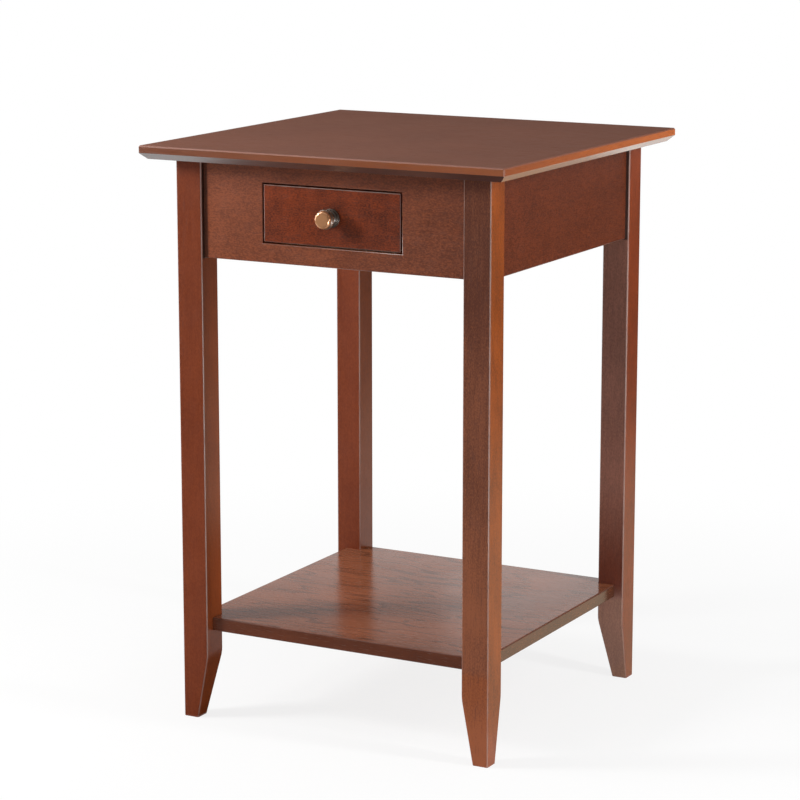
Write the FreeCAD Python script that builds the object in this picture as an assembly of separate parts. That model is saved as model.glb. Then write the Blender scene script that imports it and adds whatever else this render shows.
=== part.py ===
import FreeCAD, Part
import math
import os

from FreeCAD import Vector

os.makedirs("parts", exist_ok=True)

# A square end table with one inset drawer and a low shelf. Millimetres, Z up, the drawer faces -Y,
# and the origin lies on the floor under the middle of the top.

# Whole table
table_height = 686.0
top_size = 468.0
leg_spread = 406.0  # over the outer faces of two legs
leg_size = 34.0

# Top: an upright edge over a bevel that is cut back underneath
top_thickness = 16.0
top_edge_height = 8.5
top_bevel_inset = 8.0
top_arris = 1.5

# Feet: only the two inner faces of each leg taper
foot_size = 19.5
taper_height = 76.0
taper_bend_radius = 60.0
leg_arris = 1.2

# Aprons
apron_height = 114.0
apron_thickness = 18.0
apron_setback = 5.0
tenon_thickness = 8.0
tenon_shoulder_below = 10.0
tenon_shoulder_above = 14.0
tenon_mitre_gap = 0.5
board_arris = 1.0

# Shelf
shelf_top = 123.0
shelf_thickness = 16.0
shelf_setback = 12.0
dowel_radius = 4.0
dowel_length = 40.0
dowel_in_leg = 18.0

# Corner blocks
block_reach = 52.0
block_height = 40.0
block_web = 14.0  # wood left under a screw's head
block_bore_radius = 4.5
side_screw_offset = 32.0  # from the angle of the aprons along each of them
up_screw_offset = 17.0

# Wood screws
screw_radius = 2.0
screw_head_radius = 4.0
screw_length = 26.0
screw_bite = 10.0  # how far the long screws go into the top
screw_tip_radius = 0.4
small_screw_radius = 1.3
small_screw_length = 16.0

# Drawer opening and drawer
opening_width = 180.0
opening_height = 69.0
drawer_gap = 1.5
drawer_depth = 304.0
front_thickness = 16.0
side_thickness = 10.0
side_height = 57.0
back_top_drop = 4.5  # the back stands lower than the sides
groove_depth = 4.0
groove_rise = 8.0
bottom_thickness = 4.0
tail_count = 3
tail_width = 14.0
tail_slope = 10.0  # degrees
lap_thickness = 4.0  # wood of the front that covers the dovetails
drawer_travel = 200.0
bottom_screw_spacing = 58.0

# Drawer guides
guide_clearance = 1.0
ledge_clearance = 0.3
ledge_thickness = 14.0
ledge_reach = 12.5
guide_width = 22.5
guide_rise = 21.0
housing_depth = 3.0
kicker_width = 16.0
kicker_length = 328.0
kicker_inset = 2.0  # from the front apron
kicker_screw_inset = 50.0
kicker_clearance = 1.5
stop_length = 14.0
stop_height = 13.0
stop_drop = 8.0  # how far an out stop hangs below the top of the drawer's back

# Knob
knob_radius = 11.5
knob_base_radius = 11.0
knob_step_radius = 9.2
knob_step_height = 1.6  # of each of the two steps of the base
knob_neck_radius = 5.2
knob_neck_height = 9.0
knob_flare = 2.4
knob_rim = 1.2
knob_rim_low = 15.4
knob_rim_high = 17.8
knob_dome_rise = 2.0
knob_length = 22.5
knob_screw_radius = 2.0
knob_screw_bite = 10.0
knob_screw_head_radius = 4.2
knob_screw_head_height = 2.8
hardware_sides = 12

# Places that follow from the sizes
leg_top = table_height - top_thickness
leg_outer = leg_spread / 2
leg_inner = leg_outer - leg_size
apron_bottom = leg_top - apron_height
apron_outer = leg_outer - apron_setback
apron_inner = apron_outer - apron_thickness
opening_bottom = apron_bottom + (apron_height - opening_height) / 2
drawer_face = -apron_outer
drawer_bottom_z = opening_bottom + drawer_gap
drawer_half = opening_width / 2 - drawer_gap
drawer_top_z = opening_bottom + opening_height - drawer_gap
drawer_middle_z = (drawer_bottom_z + drawer_top_z) / 2
drawer_end = drawer_face + drawer_depth
side_inner = drawer_half - side_thickness
panel_bottom = drawer_bottom_z + groove_rise
panel_top = panel_bottom + bottom_thickness
back_top = drawer_bottom_z + side_height - back_top_drop
back_face = drawer_end - side_thickness
ledge_top = drawer_bottom_z - ledge_clearance
guide_inner = drawer_half + guide_clearance
kicker_bottom = drawer_bottom_z + side_height + kicker_clearance
kicker_inner = side_inner - kicker_clearance


def box(x, y, z):
    """A block between two limits along each axis."""
    corner = Vector(min(x), min(y), min(z))
    return Part.makeBox(max(x) - min(x), max(y) - min(y), max(z) - min(z), corner)


def prism(points, push):
    """A flat outline pushed straight along a vector."""
    return Part.Face(Part.makePolygon(points + points[:1])).extrude(push)


def turned(stations, start, direction):
    """Small round hardware: flat facets between regular rings at the given (height, radius) stations."""
    rings = []
    for height, radius in stations:
        angles = [2 * math.pi * (index + 0.5) / hardware_sides for index in range(hardware_sides + 1)]
        rings.append([Vector(radius * math.cos(angle), radius * math.sin(angle), height) for angle in angles])
    faces = [Part.Face(Part.makePolygon(ring)) for ring in (rings[0], rings[-1])]
    for lower, upper in zip(rings, rings[1:]):
        for a, b, c, d in zip(lower, lower[1:], upper[1:], upper):
            faces.append(Part.Face(Part.makePolygon([a, b, c, d, a])))
    solid = Part.Solid(Part.Shell(faces))
    solid.Placement = FreeCAD.Placement(start, FreeCAD.Rotation(Vector(0, 0, 1), direction))
    return solid


def rod(start, direction, radius, length):
    return turned([(0, radius), (length, radius)], start, direction)


def mirror_x(shape):
    return shape.mirror(Vector(0, 0, 0), Vector(1, 0, 0))


def mirror_y(shape):
    return shape.mirror(Vector(0, 0, 0), Vector(0, 1, 0))


def ease(shape, width, wanted):
    """Takes the sharpness off the edges whose box passes the test."""
    return shape.makeChamfer(width, [edge for edge in shape.Edges if wanted(edge.BoundBox)])


def seat(piece, mates):
    """Cuts the hollows in a piece that its mates fill."""
    for mate in mates:
        piece = piece.cut(mate)
    return piece


def save(name, shape):
    if shape.ShapeType == "Compound" and len(shape.Solids) == 1:
        shape = shape.Solids[0]
    assert shape.isValid(), name
    shape.exportStep("parts/" + name + ".step")
    print(name, len(shape.Solids), "solid(s)", round(shape.Volume / 1000.0, 1), "cm3")


def wood_screw(head, direction, length, radius=screw_radius):
    """A countersunk wood screw. The head's flat end is at the given point."""
    head_radius = radius * screw_head_radius / screw_radius
    neck = head_radius - radius
    stations = [(0, head_radius), (neck, radius), (length - 2 * radius, radius), (length, screw_tip_radius)]
    return turned(stations, head, direction)


def table_top():
    """The square board: an upright edge, and below it a frustum that draws in."""
    half = top_size / 2
    under = half - top_bevel_inset
    bevel_top = table_height - top_edge_height
    edge = box((-half, half), (-half, half), (bevel_top, table_height))
    rings = []
    for reach, z in ((under, leg_top), (half, bevel_top)):
        signs = ((-1, -1), (1, -1), (1, 1), (-1, 1), (-1, -1))
        rings.append(Part.makePolygon([Vector(x * reach, y * reach, z) for x, y in signs]))
    board = edge.fuse(Part.makeLoft(rings, True, True)).removeSplitter()
    board = ease(board, top_arris, lambda b: b.ZLength > top_edge_height / 2 and b.XLength + b.YLength < 1)
    return ease(board, top_arris, lambda b: b.ZMin > table_height - 0.1)


def leg_profile():
    """One side of a leg, in distance from its outer face and height: upright, a bend, then the taper."""
    slope = math.atan((leg_size - foot_size) / taper_height)
    bend = taper_bend_radius * math.tan(slope / 2)
    upper = Vector(leg_size, 0, taper_height + bend)
    lower = Vector(leg_size - bend * math.sin(slope), 0, taper_height - bend * math.cos(slope))
    middle_turn = slope / 2
    centre = Vector(leg_size - taper_bend_radius, 0, upper.z)
    middle = centre + Vector(math.cos(middle_turn), 0, -math.sin(middle_turn)) * taper_bend_radius
    toe = Vector(foot_size, 0, 0)
    corner = Vector(0, 0, 0)
    head = Vector(0, 0, leg_top)
    inner_head = Vector(leg_size, 0, leg_top)
    return Part.Wire(
        [
            Part.LineSegment(corner, toe).toShape(),
            Part.LineSegment(toe, lower).toShape(),
            Part.Arc(lower, middle, upper).toShape(),
            Part.LineSegment(upper, inner_head).toShape(),
            Part.LineSegment(inner_head, head).toShape(),
            Part.LineSegment(head, corner).toShape(),
        ]
    )


def front_left_leg():
    """What two tapered outlines, pushed across each other, have in common."""
    outline = Part.Face(leg_profile())
    along_y = outline.extrude(Vector(0, leg_size, 0))
    along_x = outline.copy()
    along_x.rotate(Vector(0, 0, 0), Vector(0, 0, 1), 90)
    along_x = along_x.extrude(Vector(leg_size, 0, 0))
    leg = along_y.common(along_x).Solids[0]
    leg = ease(leg, leg_arris, lambda b: b.ZLength > 1)
    leg.translate(Vector(-leg_outer, -leg_outer, 0))
    return leg


def tenon(end_sign):
    """A tenon on one end of the front apron, mitred where it meets the side apron's tenon in the leg."""
    outer = apron_outer - (apron_thickness - tenon_thickness) / 2
    inner = outer - tenon_thickness
    gap = tenon_mitre_gap
    plan = [
        Vector(end_sign * leg_inner, -outer, 0),
        Vector(end_sign * (outer - gap), -outer, 0),
        Vector(end_sign * (inner - gap), -inner, 0),
        Vector(end_sign * leg_inner, -inner, 0),
    ]
    body = prism(plan, Vector(0, 0, apron_height - tenon_shoulder_below - tenon_shoulder_above))
    body.translate(Vector(0, 0, apron_bottom + tenon_shoulder_below))
    return body


def plain_apron():
    """The apron as it stands at the front, before a drawer opening is cut in it."""
    board = box((-leg_inner, leg_inner), (-apron_outer, -apron_inner), (apron_bottom, leg_top))
    board = ease(board, board_arris, lambda b: b.XLength > leg_inner and b.ZMax < apron_bottom + 1)
    return board.fuse([tenon(-1), tenon(1)]).removeSplitter()


def front_apron():
    """The plain apron with its drawer opening, whose front edge is eased."""
    half = opening_width / 2
    opening_z = (opening_bottom, opening_bottom + opening_height)
    apron = plain_apron().cut(box((-half, half), (-apron_outer - 1, -apron_inner + 1), opening_z))

    def on_rim(b):
        at_face = abs(b.YMin + apron_outer) < 0.01 and b.YLength < 0.01
        inside = b.XLength < opening_width + 2 and b.ZMin > apron_bottom + 2 and b.ZMax < leg_top - 2
        return at_face and inside

    return ease(apron, board_arris, on_rim)


def shelf():
    """A square board with a notch at each corner for a leg."""
    reach = leg_outer - shelf_setback
    outline = []
    for turn in range(4):
        angle = math.radians(90 * turn)
        cos, sin = math.cos(angle), math.sin(angle)
        for x, y in ((-reach, -leg_inner), (-leg_inner, -leg_inner), (-leg_inner, -reach)):
            outline.append(Vector(x * cos - y * sin, x * sin + y * cos, 0))
    board = prism(outline, Vector(0, 0, shelf_thickness))
    board.translate(Vector(0, 0, shelf_top - shelf_thickness))
    return ease(board, board_arris, lambda b: b.ZLength < 0.1 and max(b.XLength, b.YLength) > leg_inner)


def shelf_dowels():
    """One dowel from each end of the shelf's front and back strips into a leg."""
    y = -(leg_inner + leg_outer - shelf_setback) / 2
    z = shelf_top - shelf_thickness / 2
    left = rod(Vector(-leg_inner - dowel_in_leg, y, z), Vector(1, 0, 0), dowel_radius, dowel_length)
    right = mirror_x(left)
    return [left, right, mirror_y(left), mirror_y(right)]


def front_left_block():
    """A three-cornered block in the angle of two aprons, notched round the leg's inner edge."""
    face = -apron_inner
    corner = -leg_inner
    plan = [
        Vector(corner, face, 0),
        Vector(face + block_reach, face, 0),
        Vector(face, face + block_reach, 0),
        Vector(face, corner, 0),
        Vector(corner, corner, 0),
    ]
    block = prism(plan, Vector(0, 0, block_height))
    block.translate(Vector(0, 0, leg_top - block_height))
    return block


def front_left_block_fixings():
    """Two screws into the aprons, their counterbores, and the screw up into the top."""
    face = -apron_inner
    z = leg_top - block_height / 2
    seat_plane = face + block_web
    along_x = Vector(face + side_screw_offset, seat_plane, z)
    along_y = Vector(seat_plane, face + side_screw_offset, z)
    screws = [
        wood_screw(along_x, Vector(0, -1, 0), screw_length),
        wood_screw(along_y, Vector(-1, 0, 0), screw_length),
    ]
    bores = [
        rod(along_x, Vector(0, 1, 0), block_bore_radius, block_reach),
        rod(along_y, Vector(1, 0, 0), block_bore_radius, block_reach),
    ]
    middle = face + up_screw_offset
    up = wood_screw(Vector(middle, middle, leg_top - block_height), Vector(0, 0, 1), block_height + screw_bite)
    return screws, bores, up


def left_runner():
    """A rebated strip: a ledge that the drawer's side rides on and a wall that guides it."""
    outer = -guide_inner - guide_width
    section = [
        (outer, ledge_top - ledge_thickness),
        (-guide_inner + ledge_reach, ledge_top - ledge_thickness),
        (-guide_inner + ledge_reach, ledge_top),
        (-guide_inner, ledge_top),
        (-guide_inner, ledge_top + guide_rise),
        (outer, ledge_top + guide_rise),
    ]
    end = -apron_inner - housing_depth
    return prism([Vector(x, end, z) for x, z in section], Vector(0, 2 * (apron_inner + housing_depth), 0))


def left_kicker():
    """The strip under the top that keeps the drawer's side from tipping up."""
    start = -apron_inner + kicker_inset
    outer = -kicker_inner - kicker_width
    return box((outer, -kicker_inner), (start, start + kicker_length), (kicker_bottom, leg_top))


def left_kicker_screws():
    start = -apron_inner + kicker_inset
    x = -kicker_inner - kicker_width / 2
    length = leg_top - kicker_bottom + screw_bite
    places = (start + kicker_screw_inset, start + kicker_length - kicker_screw_inset)
    return [wood_screw(Vector(x, y, kicker_bottom), Vector(0, 0, 1), length) for y in places]


def left_back_stop():
    """The block on the ledge that the drawer's side meets when the drawer is shut."""
    y = drawer_end + ledge_clearance
    x = -guide_inner
    return box((x, x + ledge_reach), (y, y + stop_length), (ledge_top, ledge_top + stop_height))


def left_out_stop():
    """The block on the kicker that the drawer's back meets when the drawer is out."""
    y = back_face - drawer_travel - ledge_clearance
    x = -kicker_inner
    block = box((x, x + stop_length), (y - stop_length, y), (back_top - stop_drop, kicker_bottom + stop_height))
    head = Vector(x + stop_length, y - stop_length / 2, kicker_bottom + stop_height / 2)
    screw = wood_screw(head, Vector(-1, 0, 0), screw_length)
    return block, screw


def dovetail_tail(level):
    """One tail at the front end of the left side, wider at its tip."""
    start = drawer_face + front_thickness
    tip = drawer_face + lap_thickness
    spread = (start - tip) * math.tan(math.radians(tail_slope))
    half = tail_width / 2
    outline = [
        Vector(-drawer_half, start, level - half + spread),
        Vector(-drawer_half, tip, level - half),
        Vector(-drawer_half, tip, level + half),
        Vector(-drawer_half, start, level + half - spread),
    ]
    return prism(outline, Vector(side_thickness, 0, 0))


def left_side_board():
    """The left side with its tails, before it is grooved."""
    start = drawer_face + front_thickness
    side = box((-drawer_half, -side_inner), (start, drawer_end), (drawer_bottom_z, drawer_bottom_z + side_height))
    pitch = side_height / tail_count
    for index in range(tail_count):
        side = side.fuse(dovetail_tail(drawer_bottom_z + pitch * (index + 0.5)))
    return side.removeSplitter()


def drawer_left_side():
    """The board with a groove for the bottom and a housing for the back."""
    groove = box((-side_inner - groove_depth, -side_inner), (drawer_face, drawer_end), (panel_bottom, panel_top))
    housing = box((-side_inner - groove_depth, -side_inner), (back_face, drawer_end), (panel_top, back_top))
    return left_side_board().cut(groove).cut(housing)


def drawer_front():
    """The board that closes the opening, grooved for the bottom; its face edges are eased."""
    back = drawer_face + front_thickness
    board = box((-drawer_half, drawer_half), (drawer_face, back), (drawer_bottom_z, drawer_top_z))
    board = ease(board, board_arris, lambda b: b.YMax < drawer_face + 0.1)
    reach = side_inner + groove_depth
    groove = box((-reach, reach), (back - groove_depth, back), (panel_bottom, panel_top))
    return board.cut(groove)


def drawer_back():
    reach = side_inner + groove_depth
    return box((-reach, reach), (back_face, drawer_end), (panel_top, back_top))


def drawer_bottom():
    reach = side_inner + groove_depth
    start = drawer_face + front_thickness - groove_depth
    return box((-reach, reach), (start, drawer_end), (panel_bottom, panel_top))


def drawer_bottom_screws():
    """Three small screws up through the bottom into the back."""
    y = (back_face + drawer_end) / 2
    heads = [Vector(place * bottom_screw_spacing, y, panel_bottom) for place in (-1, 0, 1)]
    return [wood_screw(head, Vector(0, 0, 1), small_screw_length, small_screw_radius) for head in heads]


def knob():
    """A turned knob: a stepped base, a waist, and a head with a broad rim and a low dome."""
    dome_edge = knob_radius - 2 * knob_rim
    dome_start = knob_length - knob_dome_rise
    dome_radius = (knob_dome_rise**2 + dome_edge**2) / (2 * knob_dome_rise)
    half_sweep = math.asin(dome_edge / dome_radius) / 2
    base_top = 2 * knob_step_height
    stations = [
        (0, knob_base_radius),
        (knob_step_height, knob_base_radius),
        (knob_step_height, knob_step_radius),
        (base_top, knob_step_radius),
        (base_top + knob_flare, knob_neck_radius + knob_rim),
        (knob_neck_height, knob_neck_radius),
        (knob_rim_low - knob_flare, knob_radius - 3 * knob_rim),
        (knob_rim_low, knob_radius),
        (knob_rim_high, knob_radius),
        (dome_start, dome_edge),
    ]
    points = [Vector(0, 0, 0)] + [Vector(radius, 0, height) for height, radius in stations]
    sides = [Part.LineSegment(a, b).toShape() for a, b in zip(points, points[1:])]
    dome_top = Vector(0, 0, knob_length)
    dome_centre = knob_length - dome_radius
    dome_side = Vector(dome_radius * math.sin(half_sweep), 0, dome_centre + dome_radius * math.cos(half_sweep))
    sides.append(Part.Arc(points[-1], dome_side, dome_top).toShape())
    sides.append(Part.LineSegment(dome_top, points[0]).toShape())
    body = Part.Face(Part.Wire(sides)).revolve(Vector(0, 0, 0), Vector(0, 0, 1), 360)
    facing = FreeCAD.Rotation(Vector(0, 0, 1), Vector(0, -1, 0))
    body.Placement = FreeCAD.Placement(Vector(0, drawer_face, drawer_middle_z), facing)
    return body


def knob_screw():
    """A round-headed machine screw from inside the drawer into the knob."""
    inside = Vector(0, drawer_face + front_thickness, drawer_middle_z)
    shank = rod(inside, Vector(0, -1, 0), knob_screw_radius, front_thickness + knob_screw_bite)
    turns = [math.radians(angle) for angle in range(0, 90, 25)]
    dome = [(knob_screw_head_height * math.sin(turn), knob_screw_head_radius * math.cos(turn)) for turn in turns]
    head = turned(dome, inside, Vector(0, 1, 0))
    return shank.fuse(head).removeSplitter()


def four_corners(shape):
    """A front left shape and its three mirror images, by corner name."""
    right = mirror_x(shape)
    return {
        "front_left": shape,
        "front_right": right,
        "back_left": mirror_y(shape),
        "back_right": mirror_y(right),
    }


def build_drawer():
    left = left_side_board()
    pulls = knob_screw()
    pins = drawer_bottom_screws()
    save("drawer_front", seat(drawer_front(), [left, mirror_x(left), pulls]))
    save("drawer_left_side", drawer_left_side())
    save("drawer_right_side", mirror_x(drawer_left_side()))
    save("drawer_back", seat(drawer_back(), pins))
    save("drawer_bottom", seat(drawer_bottom(), pins))
    save("drawer_bottom_screws", Part.makeCompound(pins))
    save("knob", seat(knob(), [pulls]))
    save("knob_screw", pulls)


def build_frame():
    screws, bores, top_screw = front_left_block_fixings()
    block_screws = [copy for screw in screws for copy in four_corners(screw).values()]
    top_screws = list(four_corners(top_screw).values())
    kicker_screws = left_kicker_screws()
    kicker_screws += [mirror_x(screw) for screw in kicker_screws]
    out_stop, stop_screw = left_out_stop()
    stop_screws = [stop_screw, mirror_x(stop_screw)]
    runners = [left_runner(), mirror_x(left_runner())]
    dowels = shelf_dowels()

    aprons = {"front_apron": front_apron(), "back_apron": mirror_y(plain_apron())}
    side = plain_apron()
    side.rotate(Vector(0, 0, 0), Vector(0, 0, 1), -90)
    aprons["left_apron"] = side
    aprons["right_apron"] = mirror_x(side)
    for name, apron in aprons.items():
        save(name, seat(apron, runners + block_screws))

    for corner, leg in four_corners(front_left_leg()).items():
        save("leg_" + corner, seat(leg, list(aprons.values()) + dowels))

    block = seat(front_left_block(), screws + bores + [top_screw])
    for corner, copy in four_corners(block).items():
        save("corner_block_" + corner, copy)

    kicker = seat(left_kicker(), kicker_screws + [stop_screw])
    save("left_kicker", kicker)
    save("right_kicker", mirror_x(kicker))
    save("left_runner", runners[0])
    save("right_runner", runners[1])
    save("table_top", seat(table_top(), top_screws + kicker_screws))
    save("shelf", seat(shelf(), dowels))
    back_stop = left_back_stop()
    save("drawer_back_stops", Part.makeCompound([back_stop, mirror_x(back_stop)]))
    out_stop = out_stop.cut(stop_screw)
    save("drawer_out_stops", Part.makeCompound([out_stop, mirror_x(out_stop)]))
    save("corner_block_screws", Part.makeCompound(block_screws))
    save("top_screws", Part.makeCompound(top_screws))
    save("kicker_screws", Part.makeCompound(kicker_screws))
    save("out_stop_screws", Part.makeCompound(stop_screws))
    save("shelf_dowels", Part.makeCompound(dowels))


build_frame()
build_drawer()
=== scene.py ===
import math

import bmesh
import bpy
from mathutils import Euler, Matrix, Vector


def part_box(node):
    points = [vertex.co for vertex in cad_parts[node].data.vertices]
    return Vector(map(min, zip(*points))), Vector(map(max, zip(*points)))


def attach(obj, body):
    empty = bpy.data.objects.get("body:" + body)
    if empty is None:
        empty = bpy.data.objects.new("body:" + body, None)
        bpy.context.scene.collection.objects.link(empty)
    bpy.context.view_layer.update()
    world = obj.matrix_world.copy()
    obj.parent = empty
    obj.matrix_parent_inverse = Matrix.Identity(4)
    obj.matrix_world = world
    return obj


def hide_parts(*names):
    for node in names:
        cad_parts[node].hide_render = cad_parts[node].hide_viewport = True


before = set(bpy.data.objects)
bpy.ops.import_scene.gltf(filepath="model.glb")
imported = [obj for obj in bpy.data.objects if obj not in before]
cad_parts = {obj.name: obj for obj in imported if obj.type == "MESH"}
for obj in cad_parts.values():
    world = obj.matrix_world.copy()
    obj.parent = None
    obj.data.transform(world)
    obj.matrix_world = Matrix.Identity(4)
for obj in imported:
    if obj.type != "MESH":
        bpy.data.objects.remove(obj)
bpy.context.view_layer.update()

# An end table in a cherry-brown stain with one inset drawer and a low shelf.
# Metres, Z up, the drawer faces -Y.


# small helpers for node trees


class Sock:  # one socket of a node tree, usable in sums
    def __init__(self, tree, socket=None):
        self.tree = tree
        self.socket = socket

    def make(self, kind, settings=None, inputs=None, out=0):
        node = self.tree.nodes.new(kind)
        for name, value in (settings or {}).items():
            if name == "stops":
                fillRamp(node.color_ramp, value)
            else:
                setattr(node, name, value)
        for key, value in (inputs or {}).items():
            target = node.inputs[key]
            if isinstance(value, Sock):
                self.tree.links.new(value.socket, target)
            else:
                target.default_value = value
        return Sock(self.tree, node.outputs[out]) if len(node.outputs) else Sock(self.tree)

    def other(self, out):  # another output of the same node
        return Sock(self.tree, self.socket.node.outputs[out])

    def calc(self, operation, *others):
        return self.make("ShaderNodeMath", {"operation": operation}, dict(enumerate((self, *others))))

    def clamped(self):
        return self.make("ShaderNodeClamp", None, {0: self})

    def between(self, low, high, toLow=0.0, toHigh=1.0):  # smooth step from low to high
        inputs = {"Value": self, "From Min": low, "From Max": high, "To Min": toLow, "To Max": toHigh}
        return self.make("ShaderNodeMapRange", {"interpolation_type": "SMOOTHSTEP"}, inputs)

    def __add__(self, other):
        return self.calc("ADD", other)

    def __sub__(self, other):
        return self.calc("SUBTRACT", other)

    def __rsub__(self, other):
        return self.make("ShaderNodeMath", {"operation": "SUBTRACT"}, {0: other, 1: self})

    def __mul__(self, other):
        return self.calc("MULTIPLY", other)

    def __pow__(self, other):
        return self.calc("POWER", other)

    __radd__ = __add__
    __rmul__ = __mul__


def fillRamp(ramp, stops):
    while len(ramp.elements) < len(stops):
        ramp.elements.new(0.5)
    for element, (place, value) in zip(ramp.elements, stops):
        element.position = place
        element.color = (value, value, value, 1)


def rgba(colour):
    return (*colour, 1.0)


def mixColours(sheet, factor, first, second, blend="MIX"):
    settings = {"data_type": "RGBA", "blend_type": blend}
    return sheet.make("ShaderNodeMix", settings, {"Factor": factor, 6: first, 7: second}, out=2)


def cloud(sheet, place, scale, detail=2.0, roughness=0.5):  # scale: blotches per metre each way
    vector = sheet.make("ShaderNodeVectorMath", {"operation": "MULTIPLY"}, {0: place, 1: scale})
    inputs = {"Vector": vector, "Scale": 1.0, "Detail": detail, "Roughness": roughness}
    return sheet.make("ShaderNodeTexNoise", None, inputs)


def tinted(sheet, mask, colour, tone):
    return mixColours(sheet, mask, colour, mixColours(sheet, 1.0, colour, rgba(tone), "MULTIPLY"))


def mixVectors(sheet, factor, first, second):
    inputs = {"Factor": factor, 4: first, 5: second}
    return sheet.make("ShaderNodeMix", {"data_type": "VECTOR"}, inputs, out=1)


def splitParts(sheet, vector):
    parts = sheet.make("ShaderNodeSeparateXYZ", None, {0: vector})
    return parts, parts.other(1), parts.other(2)


def newMaterial(name):
    material = bpy.data.materials.new(name)
    material.use_nodes = True
    material.node_tree.nodes.clear()
    return material, Sock(material.node_tree)


def finishMaterial(sheet, surface):
    sheet.make("ShaderNodeOutputMaterial", None, {"Surface": surface})


print("finishes")

asItIs = (1.0, 1.0, 1.0)  # a tone that changes nothing

cherryStain = {
    "light": (0.250, 0.066, 0.024),
    "dark": (0.130, 0.028, 0.011),
    "wornAndHighlight": (0.38, 0.30, 0.27),  # where the arrises are rubbed, also a painted highlight on them
    "endGrain": (0.085, 0.022, 0.012),
    "paintedShade": (0.012, 0.004, 0.002),  # painted shade where one board keeps the light off another
    "quarterTone": asItIs,  # how the faces cut on the quarter differ
    "arrisShadeTone": asItIs,  # how the rounded edges differ in colour; on the shelf a painted shade
    "arrisDull": 0.0,  # how much rougher they are
    "arrisRound": 0.00045,
    "strips": None,  # tones of the strips glued along a board and over its ends
    "undercutShadeAndLacquer": None,  # finish of faces that slope under, with painted shade and painted reflection on their colour
    "leg": None,  # tones of painted light on a leg's foot and of painted shade on its inner faces above the shelf
    "paintedShadowFrom": None,  # from a board's middle to the painted shadow that a leg casts beside it
    "ringsPerMetre": 150.0,
    "ringSway": 0.6,  # how much the rings wander
    "ringDepth": 0.15,  # how strongly they show
    "pithTilt": 0.05,
    "patchScale": (9, 16, 16),  # per metre along, across and into the board
    "mottle": 1.32,  # how strong the patches are
    "fleckScale": (230, 520, 520),
    "flecks": 0.5,
    "streaks": 0.35,
    "fibres": 0.6,
    "poreDepth": 0.4,
    "drift": 0.0,  # lighter or darker towards one end
    # how strongly the arrises show wear and a painted highlight
    "wearAndHighlight": 0.5,
    "roughness": 0.33,
    "specular": 0.5,
    "coatRoughness": 0.15,
    "coatIor": 1.5,
    "bump": 0.00003,
}

bareBirch = dict(
    cherryStain,
    light=(0.60, 0.45, 0.28),
    dark=(0.43, 0.29, 0.16),
    wornAndHighlight=(0.62, 0.50, 0.34),
    endGrain=(0.36, 0.24, 0.13),
    arrisRound=0.0004,
    ringDepth=0.45,
    mottle=0.77,
    wearAndHighlight=0.25,
    roughness=0.62,
    specular=0.3,
    bump=0.0001,
)

# scale along, across and into the board, then detail and roughness of the noise
patterns = {
    "drift": ((2.5, 9, 9), 1.0, 0.5),
    "sway": ((7, 30, 30), 2.0, 0.5),
    "fibre": ((30, 420, 420), 3.0, 0.65),
    "streak": ((6, 110, 110), 2.0, 0.6),
    "pore": ((60, 900, 900), 1.0, 0.5),
    "rub": ((38, 38, 38), 3.0, 0.5),
    "smudge": ((11, 11, 11), 3.0, 0.5),
}
patchDetail = (3.0, 0.55)  # the looks give the scale of these two
fleckDetail = (2.0, 0.65)

# how far a face has to lean along, across or out of its board to count as one of these
lean = {
    "end": (0.75, 0.90),
    "strip": (0.75, 0.90),
    "quarter": (0.60, 0.80),
    "inner": (0.85, 0.95),
    "overEnd": (0.40, 0.60),
    "under": (-0.45, -0.55),
    "sloping": (-0.95, -0.85),
}

pithWander = {"across": 0.05, "deep": 0.012}  # metres
yearStops = [(0.0, 0.05), (0.70, 0.15), (0.90, 1.0), (1.0, 0.05)]  # early wood, late wood, the next year
ringMean = 0.3
poreStops = (0.60, 0.70)
endGrainDepth = 0.7
glossShares = {"fibre": 0.10, "smudge": 0.14, "pore": 0.12}  # what each adds to the roughness
reliefShares = {"fibre": 0.5, "ring": 0.35, "pore": 0.8, "streak": 0.3}  # and to the height
# strength and fade of the painted shade under the top and of the painted shadow beside a leg
paintedShadeSizes = {"underTop": 0.85, "topEdge": 0.002, "besideLeg": 0.58, "sideEdge": 0.0008}
legFades = {"foot": 0.006, "shadeAboveShelf": 0.137, "shelfEdge": 0.002}  # metres; where the painted light on the foot and the painted shade above the shelf fade
lacquerRubbed = 0.97
# the upward step gives arrises that face up the most of the paler colour, a painted highlight from light
# above
rubSteps = {"patchy": (0.25, 0.6, 0.45, 1.0), "upward": (-0.3, 0.5, 0.3, 1.0)}  # from, to, least, most
bumpStrength = 0.6

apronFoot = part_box("front_apron")[0].z
shelfFoot, shelfTop = (corner.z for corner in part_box("shelf"))

# how a point of the table turns so that the grain lies along its own X
grainTurn = {
    "x": (0, 0, 0),
    "y": (0, 0, -math.pi / 2),
    "z": (0, math.pi / 2, 0),
    "slant": (0, 0, -math.pi / 4),
}


def turnVector(sheet, vector, grain, shift=(0, 0, 0)):
    inputs = {"Vector": vector, "Rotation": grainTurn[grain], "Location": shift}
    return sheet.make("ShaderNodeMapping", None, inputs)


def yearRings(sheet, place, look):  # round a pith that leans a little out of the board
    along, across, deep = splitParts(sheet, place)
    drift = cloud(sheet, place, *patterns["drift"])
    sway = cloud(sheet, place, *patterns["sway"])
    side = across + (drift - 0.5) * pithWander["across"]
    level = deep + along * look["pithTilt"] + (sway - 0.5) * pithWander["deep"]
    reach = (side * side + level * level) ** 0.5
    year = (reach * look["ringsPerMetre"] + sway * look["ringSway"]).calc("FRACT")
    return sheet.make("ShaderNodeValToRGB", {"stops": yearStops}, {0: year})


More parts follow.
